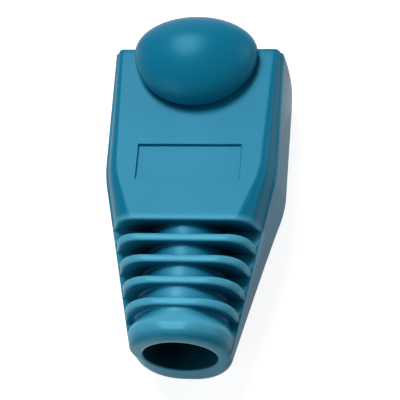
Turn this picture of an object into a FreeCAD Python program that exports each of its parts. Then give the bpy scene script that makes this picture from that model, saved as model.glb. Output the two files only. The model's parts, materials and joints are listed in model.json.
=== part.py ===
"""Strain relief boot for an 8-position modular plug: one soft moulding, in millimetres.

The boot slides over the rear of the plug from behind. The plug goes in at the mouth, the cable
leaves through the round hole in the tail. The model is built with the mouth in the plane y = 0,
the tail towards -y and the underside on z = 0, and is then moved along y so that the origin is
the centre of its footprint.
"""
import FreeCAD, Part
import math
import os

# --- the plug and the cable that the boot fits ------------------------------------------------
PLUG_WIDTH = 11.68
PLUG_HEIGHT = 7.40
PLUG_CLEARANCE = 0.11          # all round the plug
PLUG_CORNER = 0.40             # corner radius of the socket
LATCH_WIDTH = 6.60             # the plug's release latch
LATCH_CLEARANCE = 0.40         # each side of the latch
BORE_DIAMETER = 6.00           # cable hole

# --- the sleeve -------------------------------------------------------------------------------
SIDE_WALL = 1.05
FLOOR_WALL = 1.05
ROOF_WALL = 0.93
SOCKET_DEPTH = 10.40           # from the mouth to the step that stops the plug
FUNNEL_LENGTH = 4.70           # from that step to the round cable hole
SIDE_BULGE = 0.20              # how far the side walls stand out at half height
RAIL_STEP = 0.12               # the side walls stand proud of the upper shell by this ledge, on the sleeve
MOUTH_RADIUS = 0.50            # rounding of the top edges at the mouth
SHOULDER_RADIUS = 0.75         # the same at the shoulder, where the tail begins
SHOULDER_LEAN = 22.0           # degrees that the upper shell's flanks lean inwards, on the sleeve
MOUTH_LEDGE_DROP = 0.80        # from the top face down to the ledge at the mouth
LEDGE_DROP = 1.50              # the same at the shoulder
KEEL_WIDTH = 0.90              # the bottom edges round over this far inwards on the sleeve
KEEL_HEIGHT = 1.20             # and start this far above the underside
MOUTH_ROUNDING = 0.15          # rounding of the outer edge at the mouth

# --- the tail ---------------------------------------------------------------------------------
TAPER_START = 11.20            # from the mouth to where the width begins to taper
TAPER_BLEND = 1.30             # half length of the smooth bend there
BOOT_LENGTH = 26.05            # from the mouth to the tail's end face
TAIL_WIDTH = 8.00              # across the ledges at the tail's end face
TAIL_FLAT = 0.80               # width of flat that is left on top and below at the end face
TAIL_RAIL_STEP = 0.04          # the ledge's width at the end face
TAIL_LEAN = 6.0                # degrees of lean of the flanks at the end face
TAIL_LEDGE_DROP = 4.20         # from the top face down to the ledge at the end face
TAIL_KEEL_HEIGHT = 4.00        # the bottom rounding's start above the underside at the end face
TAIL_DRAFT = 0.25              # and its start inwards from the ledge, where the side walls lean in
TAIL_ROUNDING = 0.75           # rounding of the outer edge at the end face
AXIS_HEIGHT = 5.40             # height of the cable hole's axis
BORE_FLARE = 0.15              # the hole opens by this radius at the end face

# --- the flexing grooves across the tail --------------------------------------------------------
GROOVE_COUNT = 5
FIRST_GROOVE = 15.90           # from the mouth to the first groove's near wall
GROOVE_SHARE = 0.62            # a groove takes this share of the pitch and a rib the rest
COLLAR_LENGTH = 1.60           # from the last groove's far wall to the end face
CORE_WALL_FIRST = 0.45         # wall left round the cable hole under the first groove
CORE_WALL_LAST = 0.90          # the same under the last groove
RIB_ROUNDING = 0.20            # rounding of the ribs' outer edges
GROOVE_SILL = 0.05             # the upper grooves end this far above the ledge
RAIL_FOOT = 2.20               # the side rails that tie the ribs together begin at this height

# --- the latch cover ----------------------------------------------------------------------------
COVER_HALF_WIDTH = 5.15
COVER_REACH = 3.10             # from the cover's centre forwards
COVER_TRAIL = 4.80             # from the cover's centre backwards
COVER_HALF_HEIGHT = 2.70
COVER_SETBACK = 0.90           # from the mouth back to the cover's centre
COVER_RISE = 0.79              # from the top face up to the cover's centre
COVER_WALL = 0.95
COVER_LIP_DROP = 0.55          # the overhang ends this far below the top face

# --- the label field ----------------------------------------------------------------------------
LABEL_WIDTH = 8.50
LABEL_LENGTH = 3.10
LABEL_DEPTH = 0.25
LABEL_SETBACK = 9.10           # from the mouth to the field's near edge

# --- values that follow -------------------------------------------------------------------------
SOCKET_HALF_WIDTH = PLUG_WIDTH / 2 + PLUG_CLEARANCE
SOCKET_HEIGHT = PLUG_HEIGHT + 2 * PLUG_CLEARANCE
HALF_WIDTH = SOCKET_HALF_WIDTH + SIDE_WALL
HEIGHT = FLOOR_WALL + SOCKET_HEIGHT + ROOF_WALL
TAIL_HALF_WIDTH = TAIL_WIDTH / 2
TAIL_RADIUS = TAIL_HALF_WIDTH - TAIL_FLAT / 2
BORE_RADIUS = BORE_DIAMETER / 2
BORE_START = SOCKET_DEPTH + FUNNEL_LENGTH
COVER_HEIGHT = HEIGHT + COVER_RISE
COVER_OVERHANG = COVER_REACH - COVER_SETBACK
GROOVE_PITCH = (BOOT_LENGTH - COLLAR_LENGTH - FIRST_GROOVE) / (GROOVE_COUNT - 1 + GROOVE_SHARE)
GROOVE_WIDTH = GROOVE_PITCH * GROOVE_SHARE
LAST_GROOVE = FIRST_GROOVE + GROOVE_PITCH * (GROOVE_COUNT - 1)
BEND_START = TAPER_START - TAPER_BLEND
BEND_END = TAPER_START + TAPER_BLEND
ORIGIN_SHIFT = (BOOT_LENGTH - COVER_OVERHANG) / 2


def point(x, depth, z):
    """A point at this depth behind the mouth."""
    return FreeCAD.Vector(x, -depth, z)


def taper(depth):
    """Length of taper used up at this depth: zero on the sleeve, smooth round the bend, then straight."""
    past = depth - TAPER_START
    if past <= -TAPER_BLEND:
        return 0.0
    if past >= TAPER_BLEND:
        return past
    return (past + TAPER_BLEND) ** 2 / (4 * TAPER_BLEND)


def tail_share(depth):
    """How much of the tail's taper is used up at this depth, from 0 on the sleeve to 1 at the end face."""
    return taper(depth) / (BOOT_LENGTH - TAPER_START)


def along_sleeve(mouth_value, shoulder_value, depth):
    """A size that changes evenly from the mouth to the bend and is then constant."""
    share = min(depth / BEND_START, 1.0)
    return mouth_value + (shoulder_value - mouth_value) * share


def along_tail(sleeve_value, tail_value, depth):
    """A size that is constant on the sleeve and changes evenly along the tail."""
    return sleeve_value + (tail_value - sleeve_value) * tail_share(depth)


def early_along_tail(sleeve_value, tail_value, depth):
    """The same for a size that changes fastest just behind the shoulder."""
    return sleeve_value + (tail_value - sleeve_value) * math.sqrt(tail_share(depth))


def ledge_height(depth):
    """Height of the ledge between the upper shell and the side wall."""
    sleeve_drop = along_sleeve(MOUTH_LEDGE_DROP, LEDGE_DROP, depth)
    return HEIGHT - along_tail(sleeve_drop, TAIL_LEDGE_DROP, depth)


def quarter_ellipse(start, corner, end):
    """Quarter of an ellipse from start to end that is tangent to the two lines through corner."""
    curve = Part.BezierCurve()
    curve.setPoles([start, corner, end])
    curve.setWeight(2, math.sqrt(0.5))
    return curve.toShape()


def shallow_curve(start, middle, end):
    """Shallow curve from start to end through middle."""
    curve = Part.BezierCurve()
    curve.setPoles([start, middle * 2 - (start + end) / 2, end])
    return curve.toShape()


def half_section(depth, inset, rib_inset, side):
    """Edges of one half of the outer section, from the top centre line down to the bottom one.

    inset shrinks the whole section, for the rounded outer edges at the mouth and the tail. rib_inset
    lowers only the top, for the rounded edges of the ribs. side is 1 or -1.
    """
    half_width = along_tail(HALF_WIDTH, TAIL_HALF_WIDTH, depth)
    lean = math.radians(along_tail(SHOULDER_LEAN, TAIL_LEAN, depth))
    sleeve_radius = along_sleeve(MOUTH_RADIUS, SHOULDER_RADIUS, depth)
    top_radius = along_tail(sleeve_radius, TAIL_RADIUS, depth) - inset
    bulge = early_along_tail(SIDE_BULGE, 0.0, depth)
    top = HEIGHT - inset - rib_inset
    ledge = ledge_height(depth)

    flank_foot = half_width - inset
    flank_top = top - top_radius * (1 - math.sin(lean))
    flank_head = flank_foot - (flank_top - ledge) * math.tan(lean)
    flat = flank_head - top_radius * math.cos(lean)
    middle = (math.pi / 2 + lean) / 2
    arc_middle_x = flat + top_radius * math.cos(middle)
    arc_middle_z = top - top_radius * (1 - math.sin(middle))

    rail = half_width + along_tail(RAIL_STEP, TAIL_RAIL_STEP, depth) - inset
    keel_head = rail - along_tail(0.0, TAIL_DRAFT, depth)
    keel_flat = rail - early_along_tail(KEEL_WIDTH, TAIL_RADIUS, depth) + inset
    keel_top = early_along_tail(KEEL_HEIGHT, TAIL_KEEL_HEIGHT, depth)
    side_x = (rail + keel_head) / 2 + bulge
    side_z = (ledge + keel_top) / 2

    def spot(x, z):
        return point(side * x, depth, z)

    return [
        Part.LineSegment(spot(0, top), spot(flat, top)).toShape(),
        Part.Arc(spot(flat, top), spot(arc_middle_x, arc_middle_z), spot(flank_head, flank_top)).toShape(),
        Part.LineSegment(spot(flank_head, flank_top), spot(flank_foot, ledge)).toShape(),
        Part.LineSegment(spot(flank_foot, ledge), spot(rail, ledge)).toShape(),
        shallow_curve(spot(rail, ledge), spot(side_x, side_z), spot(keel_head, keel_top)),
        quarter_ellipse(spot(keel_head, keel_top), spot(keel_head, inset), spot(keel_flat, inset)),
        Part.LineSegment(spot(keel_flat, inset), spot(0, inset)).toShape(),
    ]


def outer_section(depth, inset=0.0, rib_inset=0.0):
    """Closed outer section at this depth behind the mouth."""
    right = half_section(depth, inset, rib_inset, 1)
    left = half_section(depth, inset, rib_inset, -1)
    return Part.Wire(right + left[::-1])


def skin(sections, ruled=False):
    """Open surface through these closed sections."""
    return Part.makeLoft(sections, False, ruled).Faces


def even_stretch(near, far, steps, rib_inset=0.0):
    """Outer shape from one depth to another."""
    depths = [near + (far - near) * step / steps for step in range(steps + 1)]
    return skin([outer_section(depth, 0.0, rib_inset) for depth in depths])


def rounded_stretch(edge, radius, direction, rib_edge=False):
    """Outer shape of the stretch that rounds over to an edge: direction is 1 if the edge is its tail end."""
    steps = 3
    sections = []
    for step in range(steps + 1):
        turn = math.radians(90.0 * step / steps)
        depth = edge - direction * radius * (1 - math.sin(turn))
        drop = radius * (1 - math.cos(turn))
        sections.append(outer_section(depth, 0.0 if rib_edge else drop, drop if rib_edge else 0.0))
    return skin(sections)


def outer_body():
    """The boot's outside with rounded edges, but without grooves, cover or label field."""
    faces = [Part.Face(outer_section(0.0, MOUTH_ROUNDING))]
    faces += rounded_stretch(0.0, MOUTH_ROUNDING, -1)
    faces += skin([outer_section(MOUTH_ROUNDING), outer_section(BEND_START)], True)
    faces += even_stretch(BEND_START, BEND_END, 4)
    reached = BEND_END
    for index in range(GROOVE_COUNT):
        near = FIRST_GROOVE + GROOVE_PITCH * index
        far = near + GROOVE_WIDTH
        faces += even_stretch(reached, near - RIB_ROUNDING, 2)
        faces += rounded_stretch(near, RIB_ROUNDING, 1, True)
        faces += even_stretch(near, far, 2, RIB_ROUNDING)
        faces += rounded_stretch(far, RIB_ROUNDING, -1, True)
        reached = far + RIB_ROUNDING
    faces += even_stretch(reached, BOOT_LENGTH - TAIL_ROUNDING, 2)
    faces += rounded_stretch(BOOT_LENGTH, TAIL_ROUNDING, 1)
    faces.append(Part.Face(outer_section(BOOT_LENGTH, TAIL_ROUNDING)))
    shell = Part.makeShell(faces)
    shell.sewShape()
    return Part.Solid(shell)


def arc_about(centre_x, centre_z, radius, start_angle, end_angle, depth):
    """Arc in the section plane about a centre, angles in degrees from +x towards +z."""
    spots = []
    for angle in (start_angle, (start_angle + end_angle) / 2, end_angle):
        turn = math.radians(angle)
        spots.append(point(centre_x + radius * math.cos(turn), depth, centre_z + radius * math.sin(turn)))
    return Part.Arc(*spots).toShape()


def along_y(radius_near, radius_far, near, far):
    """Round solid about the cable's axis from one depth to another, a cylinder or a cone."""
    axis = FreeCAD.Vector(0, -1, 0)
    start = point(0, near, AXIS_HEIGHT)
    if math.isclose(radius_near, radius_far):
        return Part.makeCylinder(radius_near, far - near, start, axis)
    return Part.makeCone(radius_near, radius_far, far - near, start, axis)


def block(half_width, near, far, low, high):
    """Box centred on x = 0, from one depth and height to another."""
    return Part.makeBox(2 * half_width, far - near, high - low, FreeCAD.Vector(-half_width, -far, low))


def groove_cutters():
    """What the grooves take away, above and below the side rails, down to the core round the cable."""
    core = along_y(
        BORE_RADIUS + CORE_WALL_FIRST,
        BORE_RADIUS + CORE_WALL_LAST,
        FIRST_GROOVE - GROOVE_WIDTH,
        LAST_GROOVE + 2 * GROOVE_WIDTH,
    )
    reach = HALF_WIDTH + SIDE_BULGE + RAIL_STEP
    slots = []
    for index in range(GROOVE_COUNT):
        near = FIRST_GROOVE + GROOVE_PITCH * index
        far = near + GROOVE_WIDTH
        sill = ledge_height(near) + GROOVE_SILL
        slots.append(block(reach, near, far, sill, 2 * HEIGHT))
        slots.append(block(reach, near, far, -HEIGHT, RAIL_FOOT))
    return slots[0].fuse(slots[1:]).cut(core)


def rounded_block(half_width, near, far, low, high, radius):
    """Box centred on x = 0 whose four long edges, along the boot, are rounded."""
    solid = block(half_width, near, far, low, high)
    long_edges = [edge for edge in solid.Edges if abs(edge.tangentAt(edge.FirstParameter).y) > 0.99]
    return solid.makeFillet(radius, long_edges)


def funnel():
    """Guide from the plug's socket to the round cable hole: eight sides that turn into eight arcs."""
    low = FLOOR_WALL
    high = FLOOR_WALL + SOCKET_HEIGHT
    corners = [
        (SOCKET_HALF_WIDTH, high), (-SOCKET_HALF_WIDTH, high),
        (-SOCKET_HALF_WIDTH, low), (SOCKET_HALF_WIDTH, low),
    ]
    angles = [45, 135, 225, 315]
    near_edges = []
    far_edges = []
    for index in range(4):
        start = corners[index]
        end = corners[(index + 1) % 4]
        near_edges.append(Part.LineSegment(
            point(start[0], SOCKET_DEPTH, start[1]),
            point(end[0], SOCKET_DEPTH, end[1]),
        ).toShape())
        far_edges.append(arc_about(
            0, AXIS_HEIGHT, BORE_RADIUS, angles[index], angles[index] + 90, BORE_START,
        ))
    return Part.makeLoft([Part.Wire(near_edges), Part.Wire(far_edges)], True, True)


def cavity():
    """Everything inside: socket, funnel, cable hole and its flared end."""
    socket = rounded_block(
        SOCKET_HALF_WIDTH, -COVER_OVERHANG, SOCKET_DEPTH, FLOOR_WALL, FLOOR_WALL + SOCKET_HEIGHT, PLUG_CORNER,
    )
    bore = along_y(BORE_RADIUS, BORE_RADIUS, BORE_START, BOOT_LENGTH + 1)
    flare = along_y(BORE_RADIUS, BORE_RADIUS + 2 * BORE_FLARE, BOOT_LENGTH - BORE_FLARE, BOOT_LENGTH + BORE_FLARE)
    return socket.fuse([funnel(), bore, flare])


def half_ellipsoid(half_width, reach, half_height, direction):
    """Front or back half of an ellipsoid about the latch cover's centre. direction is 1 at the front."""
    half_ball = Part.makeSphere(1.0, FreeCAD.Vector(0, 0, 0), FreeCAD.Vector(0, direction, 0), 0, 90, 360)
    matrix = FreeCAD.Matrix()
    matrix.scale(half_width, reach, half_height)
    matrix.move(point(0, COVER_SETBACK, COVER_HEIGHT))
    return half_ball.transformGeometry(matrix)


def dome(wall):
    """The latch cover's ellipsoid, longer behind its centre than in front, less a wall all round."""
    half_width = COVER_HALF_WIDTH - wall
    half_height = COVER_HALF_HEIGHT - wall
    front = half_ellipsoid(half_width, COVER_REACH - wall, half_height, 1)
    back = half_ellipsoid(half_width, COVER_TRAIL - wall, half_height, -1)
    return front.fuse(back)


def cover_outside():
    """The latch cover's outside: its overhang in front of the mouth ends level at the lip."""
    lip = HEIGHT - COVER_LIP_DROP
    reach = COVER_REACH + COVER_TRAIL
    below_lip = block(COVER_HALF_WIDTH + 1, -reach, 0, -HEIGHT, lip)
    behind = block(COVER_HALF_WIDTH + 1, 0, reach, -HEIGHT, HEIGHT - ROOF_WALL / 2)
    return dome(0.0).cut([below_lip, behind])


def half_post(half_width, reach, low, high, direction):
    """Front or back half of an upright elliptic solid about the latch cover's centre."""
    post = Part.makeCylinder(1.0, high - low, FreeCAD.Vector(0, 0, 0), FreeCAD.Vector(0, 0, 1), 180)
    post.rotate(FreeCAD.Vector(0, 0, 0), FreeCAD.Vector(0, 0, 1), 90 - 90 * direction)
    matrix = FreeCAD.Matrix()
    matrix.scale(half_width, reach, 1.0)
    matrix.move(point(0, COVER_SETBACK, low))
    return post.transformGeometry(matrix)


def cover_inside():
    """The room under the latch cover and the opening to the socket, wide enough for the latch."""
    reach = COVER_REACH + COVER_TRAIL
    above = block(COVER_HALF_WIDTH, -reach, reach, HEIGHT, 2 * HEIGHT)
    half_width = LATCH_WIDTH / 2 + LATCH_CLEARANCE
    share = half_width / (COVER_HALF_WIDTH - COVER_WALL)
    low = FLOOR_WALL + SOCKET_HEIGHT - PLUG_CORNER
    front = half_post(half_width, share * (COVER_REACH - COVER_WALL), low, COVER_HEIGHT, 1)
    back = half_post(half_width, share * (COVER_TRAIL - COVER_WALL), low, COVER_HEIGHT, -1)
    return dome(COVER_WALL).common(above).fuse([front, back])


def label_field():
    """Shallow plain field for a label on the top face."""
    return block(
        LABEL_WIDTH / 2, LABEL_SETBACK, LABEL_SETBACK + LABEL_LENGTH, HEIGHT - LABEL_DEPTH, HEIGHT + 1,
    )


def boot():
    """The whole moulding."""
    solid = outer_body().fuse(cover_outside()).removeSplitter()
    solid = solid.cut([groove_cutters(), cavity(), cover_inside(), label_field()])
    solid = solid.removeSplitter()
    solid.translate(FreeCAD.Vector(0, ORIGIN_SHIFT, 0))
    return solid


def main():
    os.makedirs("parts", exist_ok=True)
    shape = boot()
    print("boot", len(shape.Solids), "solid", shape.isValid(), round(shape.Volume, 3), shape.BoundBox)
    shape.Solids[0].exportStep("parts/boot.step")


if __name__ == "__main__":
    main()
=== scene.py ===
"""Looks, light and camera for a strain relief boot that slips over an 8-position modular plug.

The boot is one soft moulding. Its outside, its passage and its latch cover are built here as smooth
meshes on the sizes of the frame, joined into one closed skin and dressed as moulded soft PVC. Sizes
are in millimetres until a mesh is made, and depth is the distance behind the mouth.
"""

import json
import logging
import math
from collections.abc import Iterable
from dataclasses import dataclass, field
from enum import Enum

import bmesh
import bpy
import numpy as np
from mathutils import Matrix, Vector


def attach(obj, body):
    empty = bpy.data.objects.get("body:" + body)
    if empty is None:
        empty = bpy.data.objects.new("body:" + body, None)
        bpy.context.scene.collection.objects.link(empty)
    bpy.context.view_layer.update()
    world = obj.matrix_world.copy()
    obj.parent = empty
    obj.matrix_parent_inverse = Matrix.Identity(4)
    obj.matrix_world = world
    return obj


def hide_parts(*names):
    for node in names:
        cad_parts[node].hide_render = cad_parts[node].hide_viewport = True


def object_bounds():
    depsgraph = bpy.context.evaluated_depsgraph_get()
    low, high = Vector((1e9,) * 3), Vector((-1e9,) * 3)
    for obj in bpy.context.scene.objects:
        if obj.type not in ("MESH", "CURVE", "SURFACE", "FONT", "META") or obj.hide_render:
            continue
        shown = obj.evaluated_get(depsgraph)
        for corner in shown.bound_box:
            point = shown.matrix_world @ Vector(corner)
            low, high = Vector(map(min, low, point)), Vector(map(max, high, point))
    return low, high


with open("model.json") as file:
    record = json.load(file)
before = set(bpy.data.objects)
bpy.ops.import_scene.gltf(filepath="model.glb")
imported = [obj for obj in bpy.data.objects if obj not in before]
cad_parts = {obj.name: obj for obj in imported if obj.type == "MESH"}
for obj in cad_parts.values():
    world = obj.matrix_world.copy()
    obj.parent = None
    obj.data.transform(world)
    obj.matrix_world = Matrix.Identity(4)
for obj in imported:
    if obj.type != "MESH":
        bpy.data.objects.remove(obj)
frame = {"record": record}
CAD_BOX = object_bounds()

MM = 0.001
LEAST_GAP = 1e-9
MIRRORED = np.array([-1.0, 1.0, 1.0])
log = logging.getLogger("boot")


class BooleanKind(Enum):
    """How two closed meshes are joined."""

    UNION = "UNION"
    DIFFERENCE = "DIFFERENCE"


class GrooveWall(Enum):
    """The two walls of a groove, each with the sense along the boot from it to the groove's floor."""

    NEAR = 1.0
    FAR = -1.0


class WallPart(Enum):
    """What a groove's wall is made of, from the rib down."""

    CREST = "rounded edge of the rib"
    FACE = "straight wall"
    ROOT = "rounding into the floor"


# Small helpers
def linear_colour(code: str) -> tuple[float, float, float, float]:
    """Turn an sRGB hex colour into linear RGBA.

    Args:
        code: Colour as "#rrggbb".

    Returns:
        Linear red, green, blue and an alpha of 1.
    """
    channels = []
    for start in (1, 3, 5):
        value = int(code[start:start + 2], 16) / 255.0
        channels.append(value / 12.92 if value <= 0.04045 else ((value + 0.055) / 1.055) ** 2.4)
    return channels[0], channels[1], channels[2], 1.0


def mount(name: str) -> dict:
    """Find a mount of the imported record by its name."""
    return next(entry for entry in frame["record"]["mounts"] if entry["name"] == name)


def towards(azimuth: float, elevation: float) -> Vector:
    """Direction from the boot to a viewer or lamp.

    Args:
        azimuth: Degrees round the boot, from 0 behind the tail to 90 on the +X side.
        elevation: Degrees above the floor.

    Returns:
        The unit direction.
    """
    turn, rise = math.radians(azimuth), math.radians(elevation)
    return Vector((math.sin(turn) * math.cos(rise), -math.cos(turn) * math.cos(rise), math.sin(rise)))


def empty_tree(owner: bpy.types.Material | bpy.types.World) -> bpy.types.NodeTree:
    """Switch on the nodes of a material or world.

    Args:
        owner: The material or world.

    Returns:
        Its node tree, without any nodes.
    """
    owner.use_nodes = True
    owner.node_tree.nodes.clear()
    return owner.node_tree


def add_node(
    tree: bpy.types.NodeTree, kind: str, settings: dict | None = None, **links: bpy.types.NodeSocket,
) -> bpy.types.Node:
    """Add one shader node with its settings and the links into it.

    Args:
        tree: Node tree to add to.
        kind: Node type, such as "ShaderNodeMix".
        settings: Attributes to set, and inputs under the key "inputs" by name or index.
        **links: Source sockets by the input that they feed: its name with _ for a space, or i and its
            index.

    Returns:
        The new node.
    """
    node = tree.nodes.new(kind)
    for key, value in (settings or {}).items():
        if key == "inputs":
            for name, number in value.items():
                node.inputs[name].default_value = number
        else:
            setattr(node, key, value)
    for name, socket in links.items():
        key = int(name[1:]) if name[0] == "i" and name[1:].isdigit() else name.replace("_", " ")
        tree.links.new(socket, node.inputs[key])
    return node


def new_piece(name: str, points: np.ndarray, faces: list[tuple[int, ...]]) -> bpy.types.Object:
    """Make a mesh object and put it into the scene.

    Args:
        name: Name of the object and its mesh.
        points: Corners in metres, of shape (points, 3).
        faces: The corners of each face.

    Returns:
        The new object.
    """
    mesh = bpy.data.meshes.new(name)
    mesh.from_pydata(points.tolist(), [], faces)
    mesh.validate()
    mesh.update()
    piece = bpy.data.objects.new(name, mesh)
    bpy.context.scene.collection.objects.link(piece)
    return piece


def grid_piece(name: str, rows: list[np.ndarray], close_rows: bool) -> bpy.types.Object:
    """Make a closed mesh of quads through rows of equally many points.

    Args:
        name: Name of the object and its mesh.
        rows: Closed loops of points in millimetres, each of shape (points, 3).
        close_rows: True joins the last row to the first, False caps both ends.

    Returns:
        The new object, in metres, with its faces outwards.
    """
    width = len(rows[0])
    last = len(rows) if close_rows else len(rows) - 1
    faces = []
    for row in range(last):
        here = row * width
        there = ((row + 1) % len(rows)) * width
        for column in range(width):
            after = (column + 1) % width
            faces.append((here + column, here + after, there + after, there + column))
    if not close_rows:
        faces.append(tuple(range(width))[::-1])
        faces.append(tuple(range((len(rows) - 1) * width, len(rows) * width)))
    piece = new_piece(name, np.concatenate(rows) * MM, faces)
    face_outwards(piece)
    return piece


def corners_of(mesh: bpy.types.Mesh) -> np.ndarray:
    """Read the corners of a mesh.

    Args:
        mesh: The mesh.

    Returns:
        Their places in metres, of shape (corners, 3).
    """
    corners = np.zeros(len(mesh.vertices) * 3)
    mesh.vertices.foreach_get("co", corners)
    return corners.reshape(-1, 3)


def face_outwards(piece: bpy.types.Object) -> None:
    """Turn the faces of a closed mesh so that its volume is positive.

    Args:
        piece: Object of the mesh.
    """
    mesh = piece.data
    corners = corners_of(mesh)
    mesh.calc_loop_triangles()
    triangles = np.zeros(len(mesh.loop_triangles) * 3, int)
    mesh.loop_triangles.foreach_get("vertices", triangles)
    a, b, c = (corners[triangles.reshape(-1, 3)[:, index]] for index in range(3))
    if float(np.einsum("ij,ij->i", a, np.cross(b, c)).sum()) < 0.0:
        mesh.flip_normals()


def apply_modifiers(piece: bpy.types.Object) -> None:
    """Keep what the modifiers make of a mesh, and drop them.

    Args:
        piece: Object of the mesh.
    """
    bpy.context.view_layer.update()
    shown = piece.evaluated_get(bpy.context.evaluated_depsgraph_get())
    result = bpy.data.meshes.new_from_object(shown)
    piece.modifiers.clear()
    piece.data = result


def combine(target: bpy.types.Object, tool: bpy.types.Object, kind: BooleanKind) -> None:
    """Join or cut a closed mesh with another one and delete the tool.

    Args:
        target: Mesh object that keeps the result.
        tool: Closed mesh object that is used up.
        kind: Whether the tool is added or taken away.
    """
    modifier = target.modifiers.new("combine", "BOOLEAN")
    modifier.operation = kind.value
    modifier.solver = "EXACT"
    modifier.object = tool
    apply_modifiers(target)
    bpy.data.objects.remove(tool)


def weld(piece: bpy.types.Object, reach: float) -> None:
    """Merge the points that a join left side by side, and drop the slivers between them.

    Args:
        piece: Mesh object to clean.
        reach: Greatest distance between points that are one.
    """
    shape = bmesh.new()
    shape.from_mesh(piece.data)
    # A join's points can come in another order in the next run. Sorted by place, they merge the same.
    order = np.argsort(np.lexsort(corners_of(piece.data).T)).tolist()
    shape.verts.sort(key=lambda corner: order[corner.index])
    bmesh.ops.remove_doubles(shape, verts=shape.verts, dist=reach)
    bmesh.ops.dissolve_degenerate(shape, edges=shape.edges, dist=reach)
    shape.to_mesh(piece.data)
    shape.free()


def travel(points: np.ndarray) -> np.ndarray:
    """Distance along a polyline of shape (points, 2) at each of its points."""
    return np.concatenate([[0.0], np.cumsum(np.hypot(*np.diff(points, axis=0).T))])


def resample(points: np.ndarray, count: int) -> np.ndarray:
    """Place points at equal distances along a polyline.

    Args:
        points: Polyline of shape (points, 2).
        count: Number of stretches.

    Returns:
        count points, without the polyline's last one.
    """
    run = travel(points)
    wanted = np.linspace(0.0, run[-1], count + 1)[:-1]
    return np.stack([np.interp(wanted, run, points[:, 0]), np.interp(wanted, run, points[:, 1])], 1)


def quarter_turn(count: int) -> np.ndarray:
    """Evenly spaced angles from 0 to 90 degrees, in radians."""
    return np.radians(np.linspace(0.0, 90.0, count))


def ease(share: np.ndarray | float) -> np.ndarray | float:
    """Smooth step of a share from 0 to 1, level at both ends."""
    return share * share * (3.0 - 2.0 * share)


def between(first: np.ndarray, last: np.ndarray, shares: Iterable[float]) -> list[np.ndarray]:
    """Rings at these shares of the way from one ring to another."""
    return [first * (1.0 - share) + last * share for share in shares]


# The boot's form
@dataclass(frozen=True)
class Course:
    """How a size changes from the mouth to the end face."""

    taper_start: float = 11.20
    taper_blend: float = 1.30
    length: float = 26.05

    def taper(self, depth: float) -> float:
        """Length of taper used up at a depth, smooth round the bend at the shoulder.

        Args:
            depth: Distance behind the mouth.

        Returns:
            0 along the sleeve, and the length of tail passed behind the bend.
        """
        past = depth - self.taper_start
        if past <= -self.taper_blend:
            return 0.0
        if past >= self.taper_blend:
            return past
        return (past + self.taper_blend) ** 2 / (4.0 * self.taper_blend)

    def along_sleeve(self, mouth: float, shoulder: float, depth: float) -> float:
        """Size that changes evenly from the mouth to the bend."""
        return mouth + (shoulder - mouth) * min(depth / (self.taper_start - self.taper_blend), 1.0)

    def along_tail(self, sleeve: float, end: float, depth: float) -> float:
        """Size that changes evenly along the tail."""
        return sleeve + (end - sleeve) * self.taper(depth) / (self.length - self.taper_start)

    def early(self, sleeve: float, end: float, depth: float) -> float:
        """Size that changes fastest just behind the shoulder."""
        return sleeve + (end - sleeve) * math.sqrt(self.taper(depth) / (self.length - self.taper_start))


@dataclass(frozen=True)
class LabelField:
    """Shallow plain field for a label on the top face."""

    half_width: float = 4.25
    near: float = 9.10
    far: float = 12.20
    deep: float = 0.25
    wall: float = 0.045
    wall_places: tuple[float, ...] = (-1.0, -0.6, -0.2, 0.2, 0.6, 1.0)

    def steps(self) -> tuple[float, ...]:
        """Offsets across a wall at which rows and columns stand."""
        return tuple(self.wall * place for place in self.wall_places)

    def rise(self, offset: np.ndarray) -> np.ndarray:
        """Share of the depth reached at an offset from a wall's middle, from 0 outside to 1 inside."""
        return ease(np.clip((offset / self.wall + 1.0) / 2.0, 0.0, 1.0))

    def drop(self, x: np.ndarray, depth: float) -> np.ndarray:
        """How far the top face is lowered at these places."""
        along = self.rise(np.array(depth - self.near)) * self.rise(np.array(self.far - depth))
        return self.deep * self.rise(self.half_width - np.abs(x)) * along


@dataclass(frozen=True)
class Grooves:
    """The flexing grooves across the tail, down to the round core.

    A rib's edge is rounded by crest towards the mouth and by tail_crest towards the tail, and its foot
    by root. No rounding takes up more than round_share of a groove's depth.
    """

    count: int = 5
    first: float = 15.90
    share: float = 0.62
    collar: float = 1.60
    core_wall_first: float = 0.45
    core_wall_last: float = 0.90
    crest: float = 0.30
    tail_crest: float = 0.18
    root: float = 0.18
    round_share: float = 0.45
    sill: float = 0.05
    rail_foot: float = 2.20
    ramp: float = 1.30
    ramp_gap: float = 0.05

    def pitch(self, length: float) -> float:
        """Distance from one groove to the next."""
        return (length - self.collar - self.first) / (self.count - 1 + self.share)

    def spans(self, length: float) -> list[tuple[float, float]]:
        """Near and far wall of each groove."""
        starts = [self.first + self.pitch(length) * index for index in range(self.count)]
        return [(start, start + self.pitch(length) * self.share) for start in starts]


@dataclass(frozen=True)
class Columns:
    """How many stretches each part of half a section has, from the top centre to the bottom centre."""

    inside_label: int = 14
    label_wall: int = 5
    beside_label: int = 7
    top_arc: int = 14
    flank: int = 9
    ledge: int = 4
    side: int = 18
    keel: int = 14
    bottom: int = 9

    def ledge_column(self) -> int:
        """First column of the side rail, at the ledge's inner corner."""
        return self.inside_label + self.label_wall + self.beside_label + self.top_arc + self.flank + 1

    def foot_column(self) -> int:
        """Column at the side rail's foot."""
        return self.ledge_column() + self.ledge + self.side

    def rail(self) -> slice:
        """Columns of the side rail, which no groove cuts."""
        return slice(self.ledge_column(), self.foot_column() + 1)

    def half(self) -> int:
        """Stretches in half a section."""
        return self.foot_column() + self.keel + self.bottom


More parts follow.
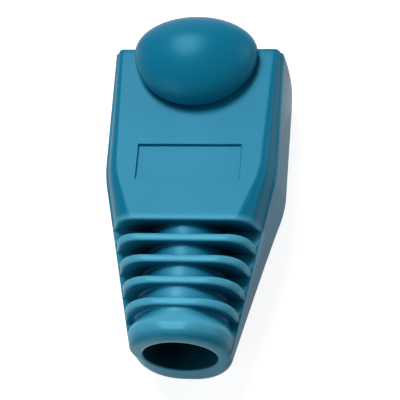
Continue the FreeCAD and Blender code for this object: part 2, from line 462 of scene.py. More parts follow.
@dataclass(frozen=True)
class Rings:
    """How many rings each stretch has, outside from the mouth to the end face and then back inside.

    Where there is a tuple, it gives the rings' places, as shares of the stretch.
    """

    mouth_rounding: int = 6
    sleeve: int = 22
    label: int = 12
    shoulder: int = 14
    groove_rounding: int = 7
    groove_wall: tuple[float, float] = (0.33, 0.67)
    ramp: int = 16
    end_rounding: int = 13
    end_face: tuple[float, ...] = (0.3, 0.6, 0.85)
    hole_edge: int = 7
    bore: int = 12
    funnel: int = 8
    socket: int = 9
    mouth_edge: int = 5
    mouth_face: tuple[float, ...] = (0.35, 0.7)


@dataclass
class OuterShell:
    """The boot's outside without its latch cover: sleeve, shoulder, ribbed tail and collar.

    Sizes named for the tail hold at the end face, and the others at the mouth or along the sleeve. The
    plain margin is a bare strip that is kept round the label and before the first rib.
    """

    mouth_y: float
    axis_height: float
    bore_radius: float
    course: Course = field(default_factory=Course)
    columns: Columns = field(default_factory=Columns)
    rings: Rings = field(default_factory=Rings)
    label: LabelField = field(default_factory=LabelField)
    grooves: Grooves = field(default_factory=Grooves)
    height: float = 9.60
    half_width: float = 7.00
    side_bulge: float = 0.20
    rail_step: float = 0.12
    rail_nose: float = 0.05
    rail_nose_share: float = 0.7
    mouth_radius: float = 0.50
    shoulder_radius: float = 0.75
    shoulder_lean: float = 22.0
    mouth_ledge_drop: float = 0.80
    ledge_drop: float = 1.50
    keel_width: float = 0.90
    keel_height: float = 1.20
    mouth_rounding: float = 0.15
    tail_half_width: float = 4.00
    tail_radius: float = 3.60
    tail_rail_step: float = 0.04
    tail_lean: float = 6.0
    tail_ledge_drop: float = 4.20
    tail_keel_height: float = 4.00
    tail_draft: float = 0.25
    tail_rounding: float = 0.75
    plain_margin: float = 0.25
    curve_points: int = 60
    core_points: int = 40

    def ledge_height(self, depth: float) -> float:
        """Height of the ledge between the upper shell and the side wall."""
        sleeve_drop = self.course.along_sleeve(self.mouth_ledge_drop, self.ledge_drop, depth)
        return self.height - self.course.along_tail(sleeve_drop, self.tail_ledge_drop, depth)

    def crown(self, flat: float, top: float, depth: float) -> np.ndarray:
        """Columns of the flat top, with the label field.

        Args:
            flat: Half width of the flat top.
            top: Its height.
            depth: Distance behind the mouth.

        Returns:
            x and z of each column, from the centre to where the rounding begins.
        """
        wall, label_x = self.label.steps(), self.label.half_width
        shrink = min(1.0, (flat - self.plain_margin) / (label_x + self.label.wall))
        inside = np.linspace(0.0, (label_x + wall[0]) * shrink, self.columns.inside_label + 1)[:-1]
        across = (label_x + np.array(wall[:-1])) * shrink
        beside = np.linspace((label_x + wall[-1]) * shrink, flat, self.columns.beside_label + 1)[:-1]
        x = np.concatenate([inside, across, beside])
        return np.stack([x, top - self.label.drop(x, depth)], 1)

    def lower_side(self, start: np.ndarray, depth: float, inset: float) -> np.ndarray:
        """Columns of the side wall, the rounding below it and half the bottom face.

        Args:
            start: x and z at which the side wall begins.
            depth: Distance behind the mouth.
            inset: How far the section is shrunk, for the rounded outer edges.

        Returns:
            x and z of each column, down to the bottom centre.
        """
        course, count, foot = self.course, self.columns, self.grooves.rail_foot
        head = start[0] - course.along_tail(0.0, self.tail_draft, depth)
        flat = start[0] - course.early(self.keel_width, self.tail_radius, depth) + inset
        top = course.early(self.keel_height, self.tail_keel_height, depth)
        bulge = course.early(self.side_bulge, 0.0, depth)
        end = np.array([head, top])
        # A quadratic curve comes half way to its middle point, so that point has twice the bulge.
        middle = (start + end) / 2.0 + np.array([2.0 * bulge, 0.0])
        share = np.linspace(0.0, 1.0, self.curve_points)[:, None]
        side = start * (1.0 - share) ** 2 + middle * 2.0 * share * (1.0 - share) + end * share ** 2
        turn = np.linspace(0.0, math.pi / 2.0, self.curve_points)[1:]
        keel = np.stack([
            flat + (head - flat) * np.cos(turn),
            inset + (top - inset) * (1.0 - np.sin(turn)),
        ], 1)
        outline = np.concatenate([side, keel])
        foot_point = np.array([[np.interp(-foot, -outline[:, 1], outline[:, 0]), foot]])
        hair = 1e-6
        upper = np.concatenate([outline[outline[:, 1] > foot + hair], foot_point])
        lower = np.concatenate([foot_point, outline[outline[:, 1] < foot - hair]])
        bottom_x = np.linspace(flat, 0.0, count.bottom + 1)
        bottom = np.stack([bottom_x, np.full(len(bottom_x), inset)], 1)
        return np.concatenate([resample(upper, count.side), resample(lower, count.keel), bottom])

    def half_section(self, depth: float, inset: float = 0.0) -> np.ndarray:
        """Points of the right half of the outer section.

        Args:
            depth: Distance behind the mouth.
            inset: How far the section is shrunk, for the rounded outer edges.

        Returns:
            x and z of each column from the top centre to the bottom centre.
        """
        course, count, sill = self.course, self.columns, self.grooves.sill
        foot = course.along_tail(self.half_width, self.tail_half_width, depth) - inset
        lean = math.radians(course.along_tail(self.shoulder_lean, self.tail_lean, depth))
        sleeve_radius = course.along_sleeve(self.mouth_radius, self.shoulder_radius, depth)
        radius = course.along_tail(sleeve_radius, self.tail_radius, depth) - inset
        top = self.height - inset
        ledge = self.ledge_height(depth)
        arc_foot = top - radius * (1.0 - math.sin(lean))
        head = foot - (arc_foot - ledge) * math.tan(lean)
        flat = head - radius * math.cos(lean)

        turn = np.linspace(math.pi / 2.0, lean, count.top_arc + 1)[:-1]
        arc = np.stack([flat + radius * np.cos(turn), top - radius * (1.0 - np.sin(turn))], 1)

        share = np.linspace(0.0, 1.0, count.flank + 1)[:, None]
        sill_point = np.array([[foot - sill * math.tan(lean), ledge + sill]])
        flank = np.array([[head, arc_foot]]) * (1.0 - share) + sill_point * share

        step = course.along_tail(self.rail_step, self.tail_rail_step, depth)
        rail = foot + step
        nose = min(self.rail_nose, step * self.rail_nose_share)
        bend = np.radians([90.0, 45.0, 0.0])
        corner = np.stack([rail - nose + nose * np.cos(bend), ledge - nose + nose * np.sin(bend)], 1)
        side = self.lower_side(np.array([rail, ledge - nose]), depth, inset)
        return np.concatenate([self.crown(flat, top, depth), arc, flank, [[foot, ledge]], corner, side])

    def core_section(self, depth: float, outer: np.ndarray, wall: float) -> np.ndarray:
        """Where each column of a section ends on the groove's floor.

        Args:
            depth: Distance behind the mouth.
            outer: The outer section's columns there.
            wall: Thickness left round the cable hole.

        Returns:
            x and z of each column on the floor; the side rail's columns stay where they are.
        """
        count, axis = self.columns, self.axis_height
        floor = outer.copy()
        radius = self.bore_radius + wall
        top_level = self.ledge_height(depth) + self.grooves.sill
        for columns, level, start in (
            (np.arange(0, count.ledge_column()), top_level, 90.0),
            (np.arange(count.half(), count.foot_column() - 1, -1), self.grooves.rail_foot, -90.0),
        ):
            rise = level - axis
            reach = math.sqrt(max(radius * radius - rise * rise, 0.0))
            turn = np.linspace(math.radians(start), math.atan2(rise, reach), self.core_points)
            arc = np.stack([radius * np.cos(turn), axis + radius * np.sin(turn)], 1)
            path = np.concatenate([arc, [[outer[columns[-1], 0], level]]])
            along_outer, along_path = travel(outer[columns]), travel(path)
            wanted = along_outer / along_outer[-1] * along_path[-1]
            floor[columns, 0] = np.interp(wanted, along_path, path[:, 0])
            floor[columns, 1] = np.interp(wanted, along_path, path[:, 1])
        return floor

    def ring(self, half: np.ndarray, depth: np.ndarray | float) -> np.ndarray:
        """Close half a section into a whole one.

        Args:
            half: x and z of the right half's columns.
            depth: One depth, or one for each column.

        Returns:
            Points of the closed ring, right side down and left side up.
        """
        y = self.mouth_y - np.broadcast_to(np.asarray(depth, float), (len(half),))
        right = np.stack([half[:, 0], y, half[:, 1]], 1)
        return np.concatenate([right, right[-2:0:-1] * MIRRORED])

    def wall_rows(self, edge: float, side: GrooveWall, wall: float) -> list[np.ndarray]:
        """Rings down one wall of a groove. The side rail runs on straight through them.

        Args:
            edge: Depth of the wall.
            side: Which wall of the groove it is.
            wall: Thickness left round the cable hole.

        Returns:
            Rings from the top of the rib to the groove's floor.
        """
        turns = quarter_turn(self.rings.groove_rounding)
        steps = [(WallPart.CREST, turn) for turn in turns]
        steps += [(WallPart.FACE, share) for share in self.rings.groove_wall]
        steps += [(WallPart.ROOT, turn) for turn in turns]
        direction, root, most = side.value, self.grooves.root, self.grooves.round_share
        crest = self.grooves.tail_crest if side is GrooveWall.NEAR else self.grooves.crest
        rail = self.columns.rail()
        rows = []
        for index, (part, value) in enumerate(steps):
            nominal = edge
            if part is WallPart.CREST:
                nominal = edge - direction * crest * (1.0 - math.sin(value))
            outer = self.half_section(nominal)
            floor = self.core_section(nominal, outer, wall)
            gap = np.hypot(*(floor - outer).T)
            crest_here = np.minimum(crest, gap * most)
            root_here = np.minimum(root, gap * most)
            if part is WallPart.CREST:
                sunk = crest_here * (1.0 - math.cos(value))
                shift = -crest_here * (1.0 - math.sin(value))
            elif part is WallPart.FACE:
                sunk = crest_here + (gap - crest_here - root_here) * value
                shift = np.zeros_like(gap)
            else:
                sunk = gap - root_here * (1.0 - math.sin(value))
                shift = root_here * (1.0 - math.cos(value))
            place = outer + (floor - outer) * (sunk / np.maximum(gap, LEAST_GAP))[:, None]
            along = edge + direction * shift
            even = edge + direction * ((crest + root) * index / (len(steps) - 1) - crest)
            place[rail] = self.half_section(even)[rail]
            along[rail] = even
            rows.append(self.ring(place, along))
        return rows

    def groove_rows(self, near: float, far: float, wall: float, open_end: bool) -> list[np.ndarray]:
        """Rings down one wall of a groove, along its floor and up the other wall.

        Args:
            near: Depth of the near wall.
            far: Depth of the far wall.
            wall: Thickness left round the cable hole.
            open_end: Whether the floor runs up into the collar instead of meeting a wall.

        Returns:
            Rings from the rib before the groove to the rib after it.
        """
        rows = self.wall_rows(near, GrooveWall.NEAR, wall)
        if open_end:
            return rows + self.ramp_rows(near + self.grooves.root + self.grooves.ramp_gap, wall)
        middle = (near + far) / 2.0
        rows.append(self.ring(self.core_section(middle, self.half_section(middle), wall), middle))
        return rows + self.wall_rows(far, GrooveWall.FAR, wall)[::-1]

    def ramp_rows(self, start: float, wall: float) -> list[np.ndarray]:
        """Rings from the last groove's floor up into the collar, as far as the end rounding.

        Args:
            start: Depth at which the floor begins.
            wall: Thickness left round the cable hole.

        Returns:
            Rings of the ramp and of the collar behind it.
        """
        rows = []
        rail = self.columns.rail()
        for depth in np.linspace(start, self.course.length - self.tail_rounding, self.rings.ramp):
            outer = self.half_section(float(depth))
            floor = self.core_section(float(depth), outer, wall)
            share = min(max((depth - start) / self.grooves.ramp, 0.0), 1.0)
            place = floor + (outer - floor) * ease(share)
            place[rail] = outer[rail]
            rows.append(self.ring(place, float(depth)))
        return rows

    def rows(self) -> list[np.ndarray]:
        """Build the whole outside.

        Returns:
            Rings from the mouth's edge to the end face's edge.
        """
        length, count, label, grooves = self.course.length, self.rings, self.label, self.grooves
        spans = grooves.spans(length)
        rows = []
        for turn in quarter_turn(count.mouth_rounding)[:-1]:
            inset = self.mouth_rounding * (1.0 - math.sin(turn))
            depth = self.mouth_rounding * (1.0 - math.cos(turn))
            rows.append(self.ring(self.half_section(depth, inset), depth))
        before_label, behind_label = label.near - self.plain_margin, label.far + self.plain_margin
        first_rib = spans[0][0] - grooves.crest - self.plain_margin
        depths = [
            *np.linspace(self.mouth_rounding, before_label, count.sleeve),
            *(label.near + step for step in label.steps()),
            *np.linspace(label.near, label.far, count.label)[1:-1],
            *(label.far + step for step in label.steps()),
            *np.linspace(behind_label, first_rib, count.shoulder),
        ]
        rows += [self.ring(self.half_section(depth), depth) for depth in depths]
        walls = np.linspace(grooves.core_wall_first, grooves.core_wall_last, len(spans))
        for index, (near, far) in enumerate(spans):
            rows += self.groove_rows(near, far, float(walls[index]), index == len(spans) - 1)
        for turn in quarter_turn(count.end_rounding)[1:]:
            inset = self.tail_rounding * (1.0 - math.cos(turn))
            depth = length - self.tail_rounding * (1.0 - math.sin(turn))
            rows.append(self.ring(self.half_section(depth, inset), depth))
        return rows


@dataclass
class Passage:
    """The inside: the plug's socket, the funnel behind it and the round cable hole."""

    shell: OuterShell
    socket_half_width: float = 5.95
    socket_height: float = 7.62
    socket_depth: float = 10.40
    socket_corner: float = 0.40
    corner_points: int = 13
    floor_wall: float = 1.05
    bore_start: float = 15.10
    mouth_edge: float = 0.12
    hole_edge: float = 0.18
    least_turn: float = math.radians(0.05)

    def socket_centre(self) -> float:
        """Height of the socket's middle."""
        return self.floor_wall + self.socket_height / 2.0

    def socket_ring(self, angles: np.ndarray, depth: float, grow: float = 0.0) -> np.ndarray:
        """Rounded rectangle of the socket.

        Args:
            angles: Direction of each column from the socket's middle.
            depth: Distance behind the mouth.
            grow: How far the rectangle is widened on each side.

        Returns:
            One point for each column.
        """
        half_w, half_h = self.socket_half_width + grow, self.socket_height / 2.0 + grow
        corner = self.socket_corner + grow
        outline = []
        for sign_x, sign_z, start in ((1, 1, 0.0), (-1, 1, 90.0), (-1, -1, 180.0), (1, -1, 270.0)):
            for turn in np.radians(np.linspace(start, start + 90.0, self.corner_points)):
                outline.append((
                    sign_x * (half_w - corner) + corner * math.cos(turn),
                    sign_z * (half_h - corner) + corner * math.sin(turn),
                ))
        outline = np.array(outline)
        around = np.unwrap(np.arctan2(outline[:, 1], outline[:, 0]))
        around = np.concatenate([around - 2.0 * math.pi, around, around + 2.0 * math.pi])
        outline = np.concatenate([outline, outline, outline])
        x = np.interp(angles, around, outline[:, 0])
        z = np.interp(angles, around, outline[:, 1]) + self.socket_centre()
        return np.stack([x, np.full(len(x), self.shell.mouth_y - depth), z], 1)

    def hole_ring(self, angles: np.ndarray, radius: float, depth: float) -> np.ndarray:
        """Circle about the cable's axis.

        Args:
            angles: Direction of each column from the axis.
            radius: Radius of the circle.
            depth: Distance behind the mouth.

        Returns:
            One point for each column.
        """
        y = np.full(len(angles), self.shell.mouth_y - depth)
        return np.stack([radius * np.cos(angles), y, self.shell.axis_height + radius * np.sin(angles)], 1)

    def angles(self, ring: np.ndarray, centre: float) -> np.ndarray:
        """Direction of each column of a ring about a height on the centre line.

        Args:
            ring: Points of the ring.
            centre: The height.

        Returns:
            Angles in radians, without jumps and never two alike.
        """
        around = np.unwrap(np.arctan2(ring[:, 2] - centre, ring[:, 0]))
        # Two columns in one direction would leave a slit, so they are set a little apart.
        step = np.minimum(np.diff(around), -self.least_turn)
        spread = np.concatenate([[0.0], np.cumsum(step)])
        return around[0] + spread * (around[-1] - around[0]) / spread[-1]

    def rows(self, mouth_ring: np.ndarray, end_ring: np.ndarray) -> list[np.ndarray]:
        """Rings from the end face inwards to the mouth and out to its edge.

        Args:
            mouth_ring: First ring of the outside.
            end_ring: Last ring of the outside.

        Returns:
            Rings that close the skin between the two.
        """
        length, bore, count = self.shell.course.length, self.shell.bore_radius, self.shell.rings
        at_end = self.angles(end_ring, self.shell.axis_height)
        at_mouth = self.angles(mouth_ring, self.socket_centre())
        rows = between(end_ring, self.hole_ring(at_end, bore + self.hole_edge, length), count.end_face)
        for turn in quarter_turn(count.hole_edge):
            radius = bore + self.hole_edge * (1.0 - math.sin(turn))
            rows.append(self.hole_ring(at_end, radius, length - self.hole_edge * (1.0 - math.cos(turn))))
        for share in np.linspace(0.0, 1.0, count.bore)[1:]:
            depth = (length - self.hole_edge) * (1.0 - share) + self.bore_start * share
            rows.append(self.hole_ring(at_end * (1.0 - share) + at_mouth * share, bore, depth))
        narrow = self.hole_ring(at_mouth, bore, self.bore_start)
        wide = self.socket_ring(at_mouth, self.socket_depth)
        rows += between(narrow, wide, np.linspace(0.0, 1.0, count.funnel)[1:])
        for depth in np.linspace(self.socket_depth, self.mouth_edge, count.socket)[1:]:
            rows.append(self.socket_ring(at_mouth, float(depth)))
        for turn in quarter_turn(count.mouth_edge)[1:]:
            grow = self.mouth_edge * (1.0 - math.cos(turn))
            rows.append(self.socket_ring(at_mouth, self.mouth_edge * (1.0 - math.sin(turn)), grow))
        return rows + between(rows[-1], mouth_ring, count.mouth_face)


@dataclass
class LatchCover:
    """The domed cover over the plug's release latch, open at the mouth and below."""

    mouth_y: float
    half_width: float = 5.15
    reach: float = 3.10
    trail: float = 4.80
    half_height: float = 2.70
    setback: float = 0.90
    centre_height: float = 10.39
    wall: float = 0.95
    lip: float = 9.05
    lip_rounding: float = 0.22
    post_half_width: float = 3.70
    post_low: float = 8.27
    flare: float = 0.12
    face_height: float = 9.60
    face_step: float = 0.02
    # The room's top ring, as shares of the room's height above the centre and of its width.
    room_top: tuple[float, float] = (0.9995, 0.02)
    seam_reach: float = 1e-7
    dome_faces: int = 44
    room_rings: int = 18
    room_columns: int = 96

    def centre(self) -> np.ndarray:
        """Centre of the dome."""
        return np.array([0.0, self.mouth_y - self.setback, self.centre_height])

    def ball(self) -> tuple[np.ndarray, list[tuple[int, ...]]]:
        """Blow the six sides of a cube up into a unit ball of nearly even faces.

        Returns:
            Its points and the corners of its faces. The six sides don't share points yet.
        """
        count = self.dome_faces
        ticks = np.tan(np.linspace(-math.pi / 4.0, math.pi / 4.0, count + 1))
        across, along = np.meshgrid(ticks, ticks, indexing="ij")
        points, faces = [], []
        for axis in range(3):
            for sign in (-1.0, 1.0):
                sheet = np.zeros(across.shape + (3,))
                sheet[..., axis] = sign
                sheet[..., (axis + 1) % 3] = across
                sheet[..., (axis + 2) % 3] = along
                sheet /= np.linalg.norm(sheet, axis=-1, keepdims=True)
                base = len(points) * (count + 1) ** 2
                points.append(sheet.reshape(-1, 3))
                for row in range(count):
                    for column in range(count):
                        one = base + row * (count + 1) + column
                        quad = (one, one + 1, one + count + 2, one + count + 1)
                        faces.append(quad if sign < 0.0 else quad[::-1])
        return np.concatenate(points), faces

    def outside(self) -> bpy.types.Object:
        """Build the dome's outside, with a rounded lip in front of the mouth.

        Returns:
            A closed mesh object.
        """
        ball, faces = self.ball()
        reach = np.where(ball[:, 1] > 0.0, self.reach, self.trail)
        width, height = (np.full(len(ball), size) for size in (self.half_width, self.half_height))
        dome = ball * np.stack([width, reach, height], 1) + self.centre()
        # Below the lip the dome is pressed flat, with a soft bend of the lip's rounding.
        over = (dome[:, 2] - self.lip) / self.lip_rounding
        dome[:, 2] = self.lip + self.lip_rounding * (over + np.sqrt(over * over + 1.0)) / 2.0
        piece = new_piece("latch_cover", dome * MM, faces)
        seams = piece.modifiers.new("seams", "WELD")
        seams.merge_threshold = self.seam_reach
        apply_modifiers(piece)
        face_outwards(piece)
        return piece

    def inside(self) -> bpy.types.Object:
        """Build the room under the dome and its opening to the socket.

        Returns:
            A closed mesh object.
        """
        inner_w, inner_h = self.half_width - self.wall, self.half_height - self.wall
        inner_reach, inner_trail = self.reach - self.wall, self.trail - self.wall
        post = self.post_half_width / inner_w
        post_foot = post + self.flare / inner_reach
        profile = [
            (self.post_low, post_foot), (self.lip, post_foot),
            (self.lip + self.flare, post), (self.face_height - self.face_step, post),
        ]
        low = math.asin((self.face_height - self.centre_height) / inner_h)
        for turn in np.linspace(low, math.pi / 2.0, self.room_rings)[:-1]:
            profile.append((self.centre_height + inner_h * math.sin(turn), math.cos(turn)))
        top, top_scale = self.room_top
        profile.append((self.centre_height + inner_h * top, top_scale))
        around = np.linspace(0.0, 2.0 * math.pi, self.room_columns + 1)[:-1]
        rows = []
        for height, scale in profile:
            x = inner_w * scale * np.cos(around)
            y = np.sin(around) * scale * np.where(np.sin(around) > 0.0, inner_reach, inner_trail)
            rows.append(np.stack([x, self.mouth_y - self.setback + y, np.full(len(x), height)], 1))
        return grid_piece("latch_room", rows, close_rows=False)


# Finish
@dataclass(frozen=True)
class Noise:
    """An irregular pattern, by the real size of its patches."""

    size_mm: float
    detail: float
    roughness: float


@dataclass(frozen=True)
class MouldedSoftPvc:
    """Plasticised PVC, injection moulded in a lightly spark-eroded mould.

    To the eye it is a pigmented colour under a satin skin, with broad soft highlights and a grain
    that is only just felt. Painted shade makes the colour darker where the skin is sheltered and in
    the cable hole. Painted highlights make it lighter on the upper rib tops, the collar and the end
    face. It has a pale line on the upper edge of the hole. Each pair of places in millimetres says
    where a change of colour starts and ends.
    """

    name: str = "moulded_soft_pvc"
    colour: str = "#1287ac"
    deep_colour: str = "#0f7fa3"
    # Painted shade: the colour of sheltered spots and of the cable hole, and the shelter that places it.
    painted_shade_colour: str = "#052b39"
    sheltered_roughness: float = 0.6
    shelter_reach_mm: float = 8.0
    shelter_samples: int = 24
    painted_shade_range: tuple[float, float] = (0.12, 0.5)
    # Painted highlights: the colour of the upper rib tops, collar and end face, and where it goes.
    painted_highlight_colour: str = "#56b8d8"
    proud_range: tuple[float, float] = (0.55, 0.9)
    ribs_start_mm: tuple[float, float] = (-3.3, -4.0)
    ribs_end_mm: tuple[float, float] = (-14.3, -12.7)
    upper_side_mm: tuple[float, float] = (5.4, 7.4)
    end_face_mm: tuple[float, float] = (-13.8, -14.1)
    # Where the painted shade of the cable hole fades out.
    hole_wall_mm: tuple[float, float] = (2.95, 3.1)
    line_colour: str = "#a9e2ea"
    line_inside_mm: tuple[float, float] = (3.03, 3.10)
    line_outside_mm: tuple[float, float] = (3.29, 3.22)
    line_height_mm: tuple[float, float] = (6.0, 7.0)
    gloss_tint: str = "#78cbea"
    gloss_level: float = 0.28
    roughness: float = 0.29
    roughness_spread: float = 0.03
    ior: float = 1.53
    # The colour and the gloss drift slightly and slowly from place to place.
    flow: Noise = Noise(5.0, 3.0, 0.5)
    # Grain of this kind is mostly finer than 0.1 mm. It is drawn coarser here, so that it shows.
    grain: Noise = Noise(0.16, 2.0, 0.6)
    grain_height_mm: float = 0.004
    grain_strength: float = 0.5

    def masks(
        self, tree: bpy.types.NodeTree, place: bpy.types.NodeSocket,
    ) -> dict[str, bpy.types.NodeSocket]:
        """Work out where shade and highlights are painted, and where the pale line is.

        Args:
            tree: Node tree to add to.
            place: The place on the boot, in metres.

        Returns:
            Values from 0 to 1. "open" is 0 where shade is painted: where the skin is sheltered and in the
            cable hole. "light" is 1 where highlights are painted: on the rib tops, collar and end face.
            "line" is 1 on the hole's upper edge.
        """
        along = add_node(tree, "ShaderNodeSeparateXYZ", Vector=place).outputs
        across = add_node(tree, "ShaderNodeCombineXYZ", X=along["X"], Y=along["Z"])
        from_axis = add_node(
            tree, "ShaderNodeVectorMath",
            {"operation": "DISTANCE", "inputs": {1: (0.0, mount("cable_bore")["pos_m"][2], 0.0)}},
            i0=across.outputs[0],
        ).outputs["Value"]
        # Ambient occlusion places the painted shade in sheltered spots and the painted highlights on proud
        # ones.
        shelter = add_node(
            tree, "ShaderNodeAmbientOcclusion",
            {
                "only_local": True, "samples": self.shelter_samples,
                "inputs": {"Distance": self.shelter_reach_mm * MM},
            },
        ).outputs["AO"]
        masks = {}
        for name, source, unit, fade, (start, end) in (
            ("clear_of_painted_shade", shelter, 1.0, "LINEAR", self.painted_shade_range),
            ("proud", shelter, 1.0, "LINEAR", self.proud_range),
            ("ribs_start", along["Y"], MM, "SMOOTHSTEP", self.ribs_start_mm),
            ("ribs_end", along["Y"], MM, "SMOOTHSTEP", self.ribs_end_mm),
            ("upper_side", along["Z"], MM, "SMOOTHSTEP", self.upper_side_mm),
            ("end_face", along["Y"], MM, "SMOOTHSTEP", self.end_face_mm),
            ("out_of_hole", from_axis, MM, "SMOOTHSTEP", self.hole_wall_mm),
            ("line_inside", from_axis, MM, "SMOOTHSTEP", self.line_inside_mm),
            ("line_outside", from_axis, MM, "SMOOTHSTEP", self.line_outside_mm),
            ("line_height", along["Z"], MM, "SMOOTHSTEP", self.line_height_mm),
        ):
            masks[name] = add_node(
                tree, "ShaderNodeMapRange",
                {"interpolation_type": fade, "inputs": {"From Min": start * unit, "From Max": end * unit}},
                Value=source,
            ).outputs["Result"]
        for name, operation, first, second in (
            ("upper_tail", "MULTIPLY", "upper_side", "ribs_start"),
            ("upper_ribs", "MULTIPLY", "upper_tail", "ribs_end"),
            ("ribs_and_end", "MAXIMUM", "upper_ribs", "end_face"),
            ("light", "MULTIPLY", "ribs_and_end", "proud"),
            ("open", "MULTIPLY", "clear_of_painted_shade", "out_of_hole"),
            ("beyond_edge", "MULTIPLY", "end_face", "line_inside"),
            ("edge_ring", "MULTIPLY", "beyond_edge", "line_outside"),
            ("line", "MULTIPLY", "edge_ring", "line_height"),
        ):
            masks[name] = add_node(
                tree, "ShaderNodeMath", {"operation": operation}, i0=masks[first], i1=masks[second],
            ).outputs[0]
        return masks

    def material(self) -> bpy.types.Material:
        """Build the node material.

        Returns:
            The new material.
        """
        material = bpy.data.materials.new(self.name)
        tree = empty_tree(material)
        place = add_node(tree, "ShaderNodeTexCoord").outputs["Object"]
        flow, grain = (
            add_node(
                tree, "ShaderNodeTexNoise",
                {"inputs": {
                    "Scale": 1.0 / (noise.size_mm * MM), "Detail": noise.detail, "Roughness": noise.roughness,
                }},
                Vector=place,
            ).outputs["Fac"]
            for noise in (self.flow, self.grain)
        )
        masks = self.masks(tree, place)
        skin = add_node(
            tree, "ShaderNodeMix",
            {"data_type": "RGBA", "inputs": {
                6: linear_colour(self.colour), 7: linear_colour(self.deep_colour),
            }},
            Factor=flow,
        ).outputs[2]
        # Painted highlights go on the rib tops, collar and end face, then the pale line on the hole's upper
        # edge.
        for mask, colour in (("light", self.painted_highlight_colour), ("line", self.line_colour)):
            skin = add_node(
                tree, "ShaderNodeMix", {"data_type": "RGBA", "inputs": {7: linear_colour(colour)}},
                Factor=masks[mask], i6=skin,
            ).outputs[2]
        # Painted shade: the dark colour covers sheltered spots and the cable hole.
        skin = add_node(
            tree, "ShaderNodeMix", {"data_type": "RGBA", "inputs": {6: linear_colour(self.painted_shade_colour)}},
            Factor=masks["open"], i7=skin,
        ).outputs[2]
        bump = add_node(
            tree, "ShaderNodeBump",
            {"inputs": {"Strength": self.grain_strength, "Distance": self.grain_height_mm * MM}},
            Height=grain,
        )
        smoothest, roughest = self.roughness - self.roughness_spread, self.roughness + self.roughness_spread
        satin = add_node(
            tree, "ShaderNodeMapRange", {"inputs": {"To Min": smoothest, "To Max": roughest}}, Value=flow,
        )
        dull = add_node(
            tree, "ShaderNodeMix", {"inputs": {2: self.sheltered_roughness}},
            Factor=masks["open"], i3=satin.outputs["Result"],
        )
        shader = add_node(
            tree, "ShaderNodeBsdfPrincipled",
            {"inputs": {
                "IOR": self.ior,
                "Specular IOR Level": self.gloss_level,
                "Specular Tint": linear_colour(self.gloss_tint),
            }},
            Base_Color=skin, Roughness=dull.outputs[0], Normal=bump.outputs["Normal"],
        )
        add_node(tree, "ShaderNodeOutputMaterial", Surface=shader.outputs["BSDF"])
        return material


@dataclass
class Boot:
    """The whole moulding."""

    finish: MouldedSoftPvc = field(default_factory=MouldedSoftPvc)
    smooth_angle: float = 38.0
    weld_reach: float = 0.001 * MM

    def build(self) -> bpy.types.Object:
        """Join outside, passage and latch cover into one closed skin.

        Returns:
            The moulding, still without its finish.
        """
        hole, socket = mount("cable_bore"), mount("plug_socket")
        shell = OuterShell(
            mouth_y=socket["pos_m"][1] / MM,
            axis_height=hole["pos_m"][2] / MM,
            bore_radius=hole["dims"]["r_mm"],
        )
        outside = shell.rows()
        passage = Passage(shell).rows(outside[0], outside[-1])
        piece = grid_piece("boot_moulding", outside + passage, close_rows=True)
        cover = LatchCover(mouth_y=shell.mouth_y)
        combine(piece, cover.outside(), BooleanKind.UNION)
        combine(piece, cover.inside(), BooleanKind.DIFFERENCE)
        weld(piece, self.weld_reach)
        return piece

    def dress(self, piece: bpy.types.Object) -> None:
        """Smooth the skin, give it its finish and tie it to the frame.

        Args:
            piece: The moulding.
        """
        mesh = piece.data
        mesh.polygons.foreach_set("use_smooth", [True] * len(mesh.polygons))
        mesh.set_sharp_from_angle(angle=math.radians(self.smooth_angle))
        mesh.materials.clear()
        mesh.materials.append(self.finish.material())
        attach(piece, "root")
        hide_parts("boot")


# Studio
@dataclass(frozen=True)
class Lamp:
    """One soft box, aimed at the boot. Lengths are in metres, angles in degrees, power in watts."""

    name: str
    azimuth: float
    elevation: float
    distance: float
    size: float
    power: float

    def place(self, target: Vector) -> None:
        """Hang the lamp.

        Args:
            target: The point that it shines at.
        """
        direction = towards(self.azimuth, self.elevation)
        data = bpy.data.lights.new(self.name, "AREA")
        data.shape = "DISK"
        data.size = self.size
        data.energy = self.power
        lamp = bpy.data.objects.new(self.name, data)
        lamp.location = target + direction * self.distance
        lamp.rotation_euler = (-direction).to_track_quat("-Z", "Y").to_euler()
        bpy.context.scene.collection.objects.link(lamp)


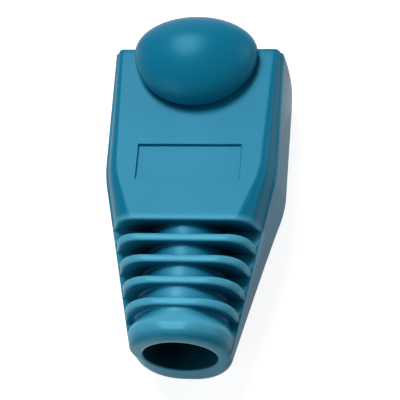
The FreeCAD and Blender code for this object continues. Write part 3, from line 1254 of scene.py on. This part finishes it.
@dataclass
class Studio:
    """Floor, world, lamps and camera. Room and floor are dimmer in the gloss than to the eye."""

    floor_size: float = 1.2
    floor_gap: float = 0.02 * MM
    floor_colour: str = "#cbcbcb"
    floor_to_eye: float = 0.88
    floor_in_gloss: float = 0.3
    room_colour: str = "#ffffff"
    room_in_gloss: float = 0.5
    room_as_light: float = 0.03
    azimuth: float = 19.586
    elevation: float = 61.630
    roll: float = -17.022
    distance: float = 0.154285
    lens: float = 166.2
    shift: tuple[float, float] = (0.0082, -0.0507)
    nearest_seen: float = 0.01
    aim_depth_mm: float = 10.0
    aim_height_mm: float = 5.0
    lamps: tuple[Lamp, ...] = (
        Lamp("far_box", 200.0, 28.0, 0.45, 0.40, 0.15),
        Lamp("key_box", 210.0, 64.0, 0.45, 0.20, 1.25),
        Lamp("left_box", 320.0, 20.0, 0.45, 0.30, 0.36),
        Lamp("right_box", 110.0, 20.0, 0.45, 0.30, 0.36),
    )

    def floor(self, level: float) -> None:
        """Lay a sheet of matt white paper under the boot, an even pale ground without gloss.

        Args:
            level: Height of the sheet.
        """
        half = self.floor_size / 2.0
        places = ((-half, -half), (half, -half), (half, half), (-half, half))
        corners = np.array([(x, y, level) for x, y in places])
        sheet = new_piece("paper_floor", corners, [(0, 1, 2, 3)])
        material = bpy.data.materials.new("matt_white_paper")
        tree = empty_tree(material)
        paper = add_node(
            tree, "ShaderNodeBsdfDiffuse", {"inputs": {"Color": linear_colour(self.floor_colour)}},
        )
        ray = add_node(tree, "ShaderNodeLightPath")
        mirrored = add_node(
            tree, "ShaderNodeMath", {"operation": "MULTIPLY", "inputs": {1: self.floor_in_gloss}},
            i0=ray.outputs["Is Glossy Ray"],
        )
        strength = add_node(
            tree, "ShaderNodeMath", {"operation": "MULTIPLY_ADD", "inputs": {1: self.floor_to_eye}},
            i0=ray.outputs["Is Camera Ray"], i2=mirrored.outputs[0],
        )
        lift = add_node(tree, "ShaderNodeEmission", Strength=strength.outputs[0])
        both = add_node(tree, "ShaderNodeAddShader", i0=paper.outputs[0], i1=lift.outputs[0])
        add_node(tree, "ShaderNodeOutputMaterial", Surface=both.outputs[0])
        sheet.data.materials.append(material)

    def surroundings(self) -> None:
        """Put up white walls for the eye, dimmer in the gloss and only faint as a light."""
        world = bpy.data.worlds.new("white_room")
        tree = empty_tree(world)
        ray = add_node(tree, "ShaderNodeLightPath")
        mirrored = add_node(
            tree, "ShaderNodeMath", {"operation": "MULTIPLY", "inputs": {1: self.room_in_gloss}},
            i0=ray.outputs["Is Glossy Ray"],
        )
        seen = mirrored.outputs[0]
        for kind in ("Is Camera Ray", "Is Transmission Ray"):
            seen = add_node(
                tree, "ShaderNodeMath", {"operation": "MAXIMUM"}, i0=ray.outputs[kind], i1=seen,
            ).outputs[0]
        strength = add_node(
            tree, "ShaderNodeMapRange", {"inputs": {"To Min": self.room_as_light, "To Max": 1.0}}, Value=seen,
        )
        light = add_node(
            tree, "ShaderNodeBackground", {"inputs": {"Color": linear_colour(self.room_colour)}},
            Strength=strength.outputs["Result"],
        )
        add_node(tree, "ShaderNodeOutputWorld", Surface=light.outputs[0])
        bpy.context.scene.world = world

    def camera(self, target: Vector) -> None:
        """Set the camera at its angle, distance and tilt.

        Args:
            target: The point that it looks at.
        """
        turn, tilt = math.radians(self.azimuth), math.radians(self.roll)
        back = towards(self.azimuth, self.elevation)
        level = Vector((math.cos(turn), math.sin(turn), 0.0))
        upright = back.cross(level)
        right = level * math.cos(tilt) + upright * math.sin(tilt)
        up = upright * math.cos(tilt) - level * math.sin(tilt)
        data = bpy.data.cameras.new("camera")
        data.lens = self.lens
        data.shift_x, data.shift_y = self.shift
        data.clip_start = self.nearest_seen
        camera = bpy.data.objects.new("camera", data)
        camera.matrix_world = Matrix.Translation(target + back * self.distance) @ Matrix(
            (right, up, back)
        ).transposed().to_4x4()
        bpy.context.scene.collection.objects.link(camera)
        bpy.context.scene.camera = camera

    def build(self) -> None:
        """Set up the whole studio."""
        low, high = (Vector(corner) for corner in CAD_BOX)
        self.floor(low.z - self.floor_gap)
        self.surroundings()
        for lamp in self.lamps:
            lamp.place((low + high) / 2.0)
        mouth_y = mount("plug_socket")["pos_m"][1]
        self.camera(Vector((0.0, mouth_y - self.aim_depth_mm * MM, self.aim_height_mm * MM)))
        bpy.context.scene.view_settings.view_transform = "Standard"


def main() -> None:
    """Build the boot, then the studio, and log its faces and the number of lamps."""
    logging.basicConfig(level=logging.INFO, format="%(name)s: %(message)s")
    boot = Boot()
    piece = boot.build()
    boot.dress(piece)
    log.info("%s: %d faces", piece.name, len(piece.data.polygons))
    studio = Studio()
    studio.build()
    log.info("studio: %d lamps", len(studio.lamps))


if __name__ == "__main__":
    main()
